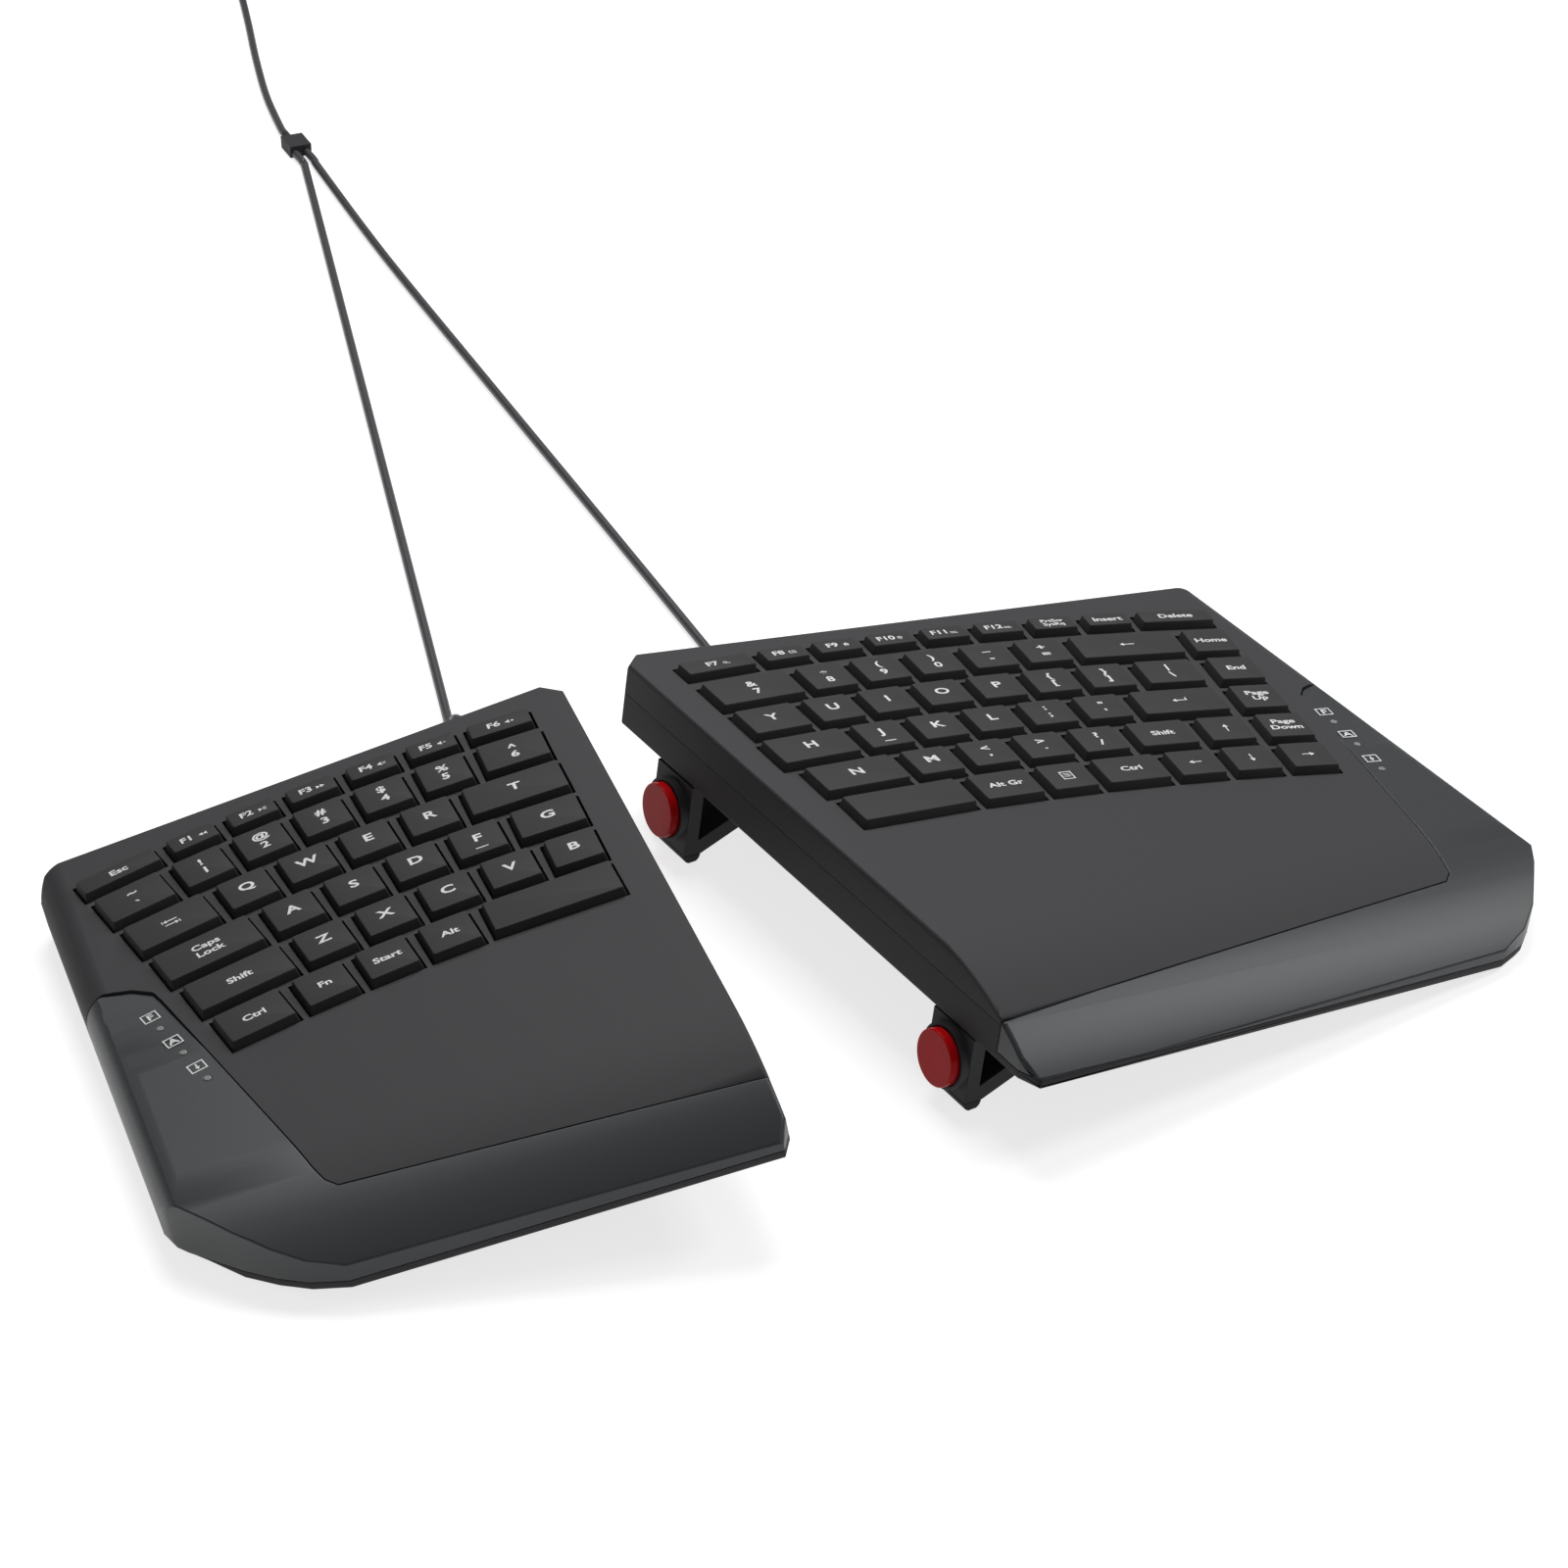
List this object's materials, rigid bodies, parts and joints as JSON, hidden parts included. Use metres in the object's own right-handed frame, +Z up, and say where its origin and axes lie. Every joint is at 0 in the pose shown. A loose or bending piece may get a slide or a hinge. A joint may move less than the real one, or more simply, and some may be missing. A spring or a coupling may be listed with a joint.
{
  "type": "split ergonomic keyboard",
  "caption": "Split ergonomic computer keyboard: two tented halves with arced key rows, curved palm rests, plug-in risers with release buttons and one forked cord ending in a plug.",
  "frame": {"origin": "middle of the two halves' footprint, on the desk", "axes": "+X to the right along the key rows, +Y to the back where the leads leave, +Z up"},
  "size_m": [0.4281, 0.987, 0.0492],
  "materials": {
    "case_plastic": "fine spark-eroded grain",
    "trim_plastic": "satin",
    "base_plastic": "moulded",
    "guide_plastic": "moulded",
    "dome_rubber": "silicone",
    "board": "lacquered",
    "lens": "clear moulded",
    "foot_rubber": "matte",
    "screw_steel": "zinc plated",
    "cord_rubber": "satin",
    "plug_plastic": "moulded",
    "plug_steel": "nickel plated",
    "riser_plastic": "moulded",
    "button_plastic": "polished",
    "key_plastic": "fine grain"
  },
  "bodies": {
    "left_half": {"left_top_cover": "case_plastic", "left_palm_trim": "trim_plastic", "left_bottom_case": "base_plastic", "left_key_guide": "guide_plastic", "left_dome_sheet": "dome_rubber", "left_circuit_board": "board", "left_led_lenses": "lens", "left_feet": "foot_rubber", "left_screws": "screw_steel", "left_gland": "cord_rubber", "left_lead": "cord_rubber", "right_lead": "cord_rubber", "cord_fork": "plug_plastic", "main_cord": "cord_rubber", "cord_coil": "cord_rubber", "cord_tie": "foot_rubber", "usb_plug": "plug_plastic", "usb_shell": "plug_steel"},
    "right_half": {"right_top_cover": "case_plastic", "right_palm_trim": "trim_plastic", "right_bottom_case": "base_plastic", "right_key_guide": "guide_plastic", "right_dome_sheet": "dome_rubber", "right_circuit_board": "board", "right_led_lenses": "lens", "right_feet": "foot_rubber", "right_screws": "screw_steel", "right_gland": "cord_rubber"},
    "left_rear_riser": {"left_rear_riser": "riser_plastic", "left_rear_pad": "foot_rubber"},
    "left_rear_button": {"left_rear_button": "button_plastic"},
    "left_front_riser": {"left_front_riser": "riser_plastic", "left_front_pad": "foot_rubber"},
    "left_front_button": {"left_front_button": "button_plastic"},
    "right_rear_riser": {"right_rear_riser": "riser_plastic", "right_rear_pad": "foot_rubber"},
    "right_rear_button": {"right_rear_button": "button_plastic"},
    "right_front_riser": {"right_front_riser": "riser_plastic", "right_front_pad": "foot_rubber"},
    "right_front_button": {"right_front_button": "button_plastic"},
    "left_keys_f": {"left_keys_f": "key_plastic"},
    "left_keys_1": {"left_keys_1": "key_plastic"},
    "left_keys_2": {"left_keys_2": "key_plastic"},
    "left_keys_3": {"left_keys_3": "key_plastic"},
    "left_keys_4": {"left_keys_4": "key_plastic"},
    "left_keys_5": {"left_keys_5": "key_plastic"},
    "left_caps_key": {"left_caps_key": "key_plastic"},
    "left_shift_key": {"left_shift_key": "key_plastic"},
    "left_space_key": {"left_space_key": "key_plastic"},
    "right_keys_f": {"right_keys_f": "key_plastic"},
    "right_keys_1": {"right_keys_1": "key_plastic"},
    "right_keys_2": {"right_keys_2": "key_plastic"},
    "right_keys_3": {"right_keys_3": "key_plastic"},
    "right_keys_4": {"right_keys_4": "key_plastic"},
    "right_keys_5": {"right_keys_5": "key_plastic"},
    "right_backspace_key": {"right_backspace_key": "key_plastic"},
    "right_enter_key": {"right_enter_key": "key_plastic"},
    "right_space_key": {"right_space_key": "key_plastic"}
  },
  "joints": [
    {"name": "spread", "type": "slide", "parent": "left_half", "child": "right_half", "axis": [1, 0, 0], "range_m": [0, 0.08], "deforming": ["right_lead"]},
    {"name": "left_rear_unplug", "type": "slide", "parent": "left_half", "child": "left_rear_riser", "axis": [0.1702, 0, -0.9854], "range_m": [0, 0.012]},
    {"name": "left_rear_release", "type": "slide", "parent": "left_rear_riser", "child": "left_rear_button", "axis": [-0.9804, 0.1002, -0.1694], "range_m": [0, 0.002], "stiffness_N_per_m": 400, "springref_m": -0.003},
    {"name": "left_front_unplug", "type": "slide", "parent": "left_half", "child": "left_front_riser", "axis": [0.1702, 0, -0.9854], "range_m": [0, 0.012]},
    {"name": "left_front_release", "type": "slide", "parent": "left_front_riser", "child": "left_front_button", "axis": [-0.9804, 0.1002, -0.1694], "range_m": [0, 0.002], "stiffness_N_per_m": 400, "springref_m": -0.003},
    {"name": "right_rear_unplug", "type": "slide", "parent": "right_half", "child": "right_rear_riser", "axis": [-0.1323, 0, -0.9912], "range_m": [0, 0.012]},
    {"name": "right_rear_release", "type": "slide", "parent": "right_rear_riser", "child": "right_rear_button", "axis": [0.9806, 0.1461, -0.1308], "range_m": [0, 0.002], "stiffness_N_per_m": 400, "springref_m": -0.003},
    {"name": "right_front_unplug", "type": "slide", "parent": "right_half", "child": "right_front_riser", "axis": [-0.1323, 0, -0.9912], "range_m": [0, 0.012]},
    {"name": "right_front_release", "type": "slide", "parent": "right_front_riser", "child": "right_front_button", "axis": [0.9806, 0.1461, -0.1308], "range_m": [0, 0.002], "stiffness_N_per_m": 400, "springref_m": -0.003},
    {"name": "left_keys_f_press", "type": "slide", "parent": "left_half", "child": "left_keys_f", "axis": [0.1702, 0, -0.9854], "range_m": [0, 0.003], "stiffness_N_per_m": 700, "springref_m": -0.004},
    {"name": "left_keys_1_press", "type": "slide", "parent": "left_half", "child": "left_keys_1", "axis": [0.1702, 0, -0.9854], "range_m": [0, 0.003], "stiffness_N_per_m": 700, "springref_m": -0.004},
    {"name": "left_keys_2_press", "type": "slide", "parent": "left_half", "child": "left_keys_2", "axis": [0.1702, 0, -0.9854], "range_m": [0, 0.003], "stiffness_N_per_m": 600, "springref_m": -0.004},
    {"name": "left_keys_3_press", "type": "slide", "parent": "left_half", "child": "left_keys_3", "axis": [0.1702, 0, -0.9854], "range_m": [0, 0.003], "stiffness_N_per_m": 500, "springref_m": -0.004},
    {"name": "left_keys_4_press", "type": "slide", "parent": "left_half", "child": "left_keys_4", "axis": [0.1702, 0, -0.9854], "range_m": [0, 0.003], "stiffness_N_per_m": 500, "springref_m": -0.004},
    {"name": "left_keys_5_press", "type": "slide", "parent": "left_half", "child": "left_keys_5", "axis": [0.1702, 0, -0.9854], "range_m": [0, 0.003], "stiffness_N_per_m": 400, "springref_m": -0.004},
    {"name": "left_caps_key_press", "type": "slide", "parent": "left_half", "child": "left_caps_key", "axis": [0.1702, 0, -0.9854], "range_m": [0, 0.003], "stiffness_N_per_m": 200, "springref_m": -0.004},
    {"name": "left_shift_key_press", "type": "slide", "parent": "left_half", "child": "left_shift_key", "axis": [0.1702, 0, -0.9854], "range_m": [0, 0.003], "stiffness_N_per_m": 200, "springref_m": -0.004},
    {"name": "left_space_key_press", "type": "slide", "parent": "left_half", "child": "left_space_key", "axis": [0.1702, 0, -0.9854], "range_m": [0, 0.003], "stiffness_N_per_m": 200, "springref_m": -0.004},
    {"name": "right_keys_f_press", "type": "slide", "parent": "right_half", "child": "right_keys_f", "axis": [-0.1323, 0, -0.9912], "range_m": [0, 0.003], "stiffness_N_per_m": 900, "springref_m": -0.004},
    {"name": "right_keys_1_press", "type": "slide", "parent": "right_half", "child": "right_keys_1", "axis": [-0.1323, 0, -0.9912], "range_m": [0, 0.003], "stiffness_N_per_m": 700, "springref_m": -0.004},
    {"name": "right_keys_2_press", "type": "slide", "parent": "right_half", "child": "right_keys_2", "axis": [-0.1323, 0, -0.9912], "range_m": [0, 0.003], "stiffness_N_per_m": 900, "springref_m": -0.004},
    {"name": "right_keys_3_press", "type": "slide", "parent": "right_half", "child": "right_keys_3", "axis": [-0.1323, 0, -0.9912], "range_m": [0, 0.003], "stiffness_N_per_m": 700, "springref_m": -0.004},
    {"name": "right_keys_4_press", "type": "slide", "parent": "right_half", "child": "right_keys_4", "axis": [-0.1323, 0, -0.9912], "range_m": [0, 0.003], "stiffness_N_per_m": 800, "springref_m": -0.004},
    {"name": "right_keys_5_press", "type": "slide", "parent": "right_half", "child": "right_keys_5", "axis": [-0.1323, 0, -0.9912], "range_m": [0, 0.003], "stiffness_N_per_m": 600, "springref_m": -0.004},
    {"name": "right_backspace_key_press", "type": "slide", "parent": "right_half", "child": "right_backspace_key", "axis": [-0.1323, 0, -0.9912], "range_m": [0, 0.003], "stiffness_N_per_m": 200, "springref_m": -0.004},
    {"name": "right_enter_key_press", "type": "slide", "parent": "right_half", "child": "right_enter_key", "axis": [-0.1323, 0, -0.9912], "range_m": [0, 0.003], "stiffness_N_per_m": 200, "springref_m": -0.004},
    {"name": "right_space_key_press", "type": "slide", "parent": "right_half", "child": "right_space_key", "axis": [-0.1323, 0, -0.9912], "range_m": [0, 0.003], "stiffness_N_per_m": 200, "springref_m": -0.004}
  ]
}
